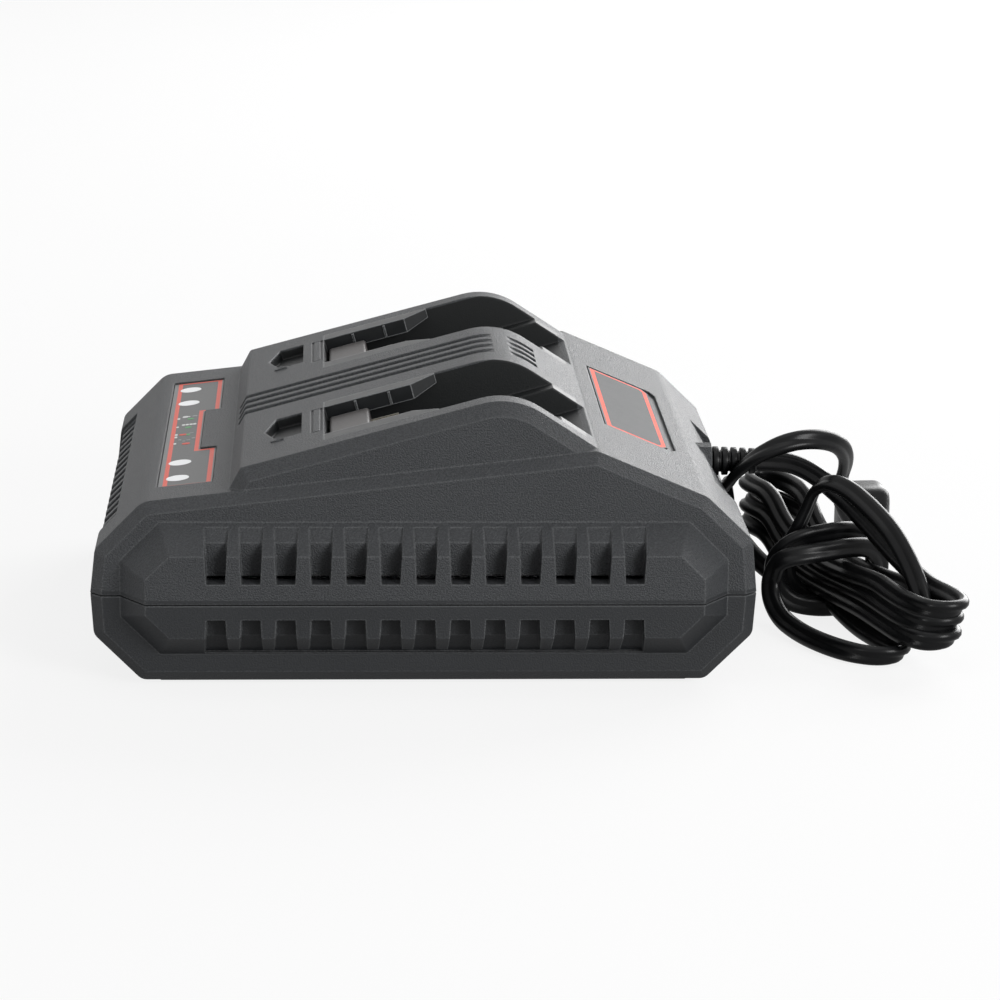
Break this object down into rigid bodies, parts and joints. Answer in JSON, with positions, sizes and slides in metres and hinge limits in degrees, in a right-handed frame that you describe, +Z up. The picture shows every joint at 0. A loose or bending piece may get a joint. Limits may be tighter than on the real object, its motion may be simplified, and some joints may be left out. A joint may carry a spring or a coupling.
{
  "type": "power tool battery charger",
  "caption": "Mains charger for slide-on tool battery packs: side-by-side sloped bays with guide rails and contact blades, vented moulded housing, status panel, cooling fan, bundled cord.",
  "frame": {"origin": "on the table, under the middle of the housing, cord left out", "axes": "+X to the rear, where the cord leaves; the status panel faces -X; +Y across the two bays; +Z up"},
  "size_m": [0.2732, 0.209, 0.0891],
  "materials": {
    "housing": "fine spark texture",
    "rubber_foot": "matt",
    "steel_screw": "zinc plated",
    "overlay": "printed satin film",
    "lens": "clear diffusing lens",
    "badge": "satin plate",
    "terminal_plastic": "glass filled, satin",
    "contact": "nickel plated",
    "circuit_board": "solder mask",
    "led": "diffusing",
    "ferrite": "sintered",
    "winding_tape": "polyester tape",
    "capacitor_sleeve": "shrink sleeve",
    "heatsink": "extruded",
    "package": "moulded epoxy",
    "film_capacitor": "boxed",
    "fuse_body": "ceramic",
    "connector": "nylon",
    "fan_plastic": "moulded",
    "cord_jacket": "glossy vinyl",
    "plug_metal": "plated"
  },
  "bodies": {
    "housing": {"base_shell": "housing", "top_shell": "housing", "rubber_feet": "rubber_foot", "housing_screws": "steel_screw", "status_overlay": "overlay", "light_pipes": "lens", "rear_badge": "badge", "guide_rails_left": "housing", "guide_rails_right": "housing", "terminal_block_left": "terminal_plastic", "terminal_block_right": "terminal_plastic", "contact_blades_left": "contact", "contact_blades_right": "contact", "main_board": "circuit_board", "board_screws": "steel_screw", "status_board": "circuit_board", "status_leds": "led", "transformer_core": "ferrite", "transformer_winding": "winding_tape", "bulk_capacitors": "capacitor_sleeve", "output_capacitors": "capacitor_sleeve", "primary_heatsink": "heatsink", "output_heatsink": "heatsink", "power_transistors": "package", "emi_choke": "ferrite", "line_filter_capacitor": "film_capacitor", "fuse": "fuse_body", "inlet_connector": "connector", "fan_frame": "fan_plastic", "strain_relief": "cord_jacket", "power_cord_run": "cord_jacket", "power_cord_cross_strand": "cord_jacket", "power_cord_lower_loop": "cord_jacket", "power_cord_upper_loop": "cord_jacket", "power_cord_hank": "cord_jacket", "plug_body": "cord_jacket", "plug_blades": "plug_metal"},
    "fan": {"fan_impeller": "fan_plastic"}
  },
  "joints": [
    {"name": "fan_spin", "type": "hinge", "parent": "housing", "child": "fan", "pos_m": [-0.0765, 0, 0.0246], "axis": [1, 0, 0], "continuous": true}
  ]
}
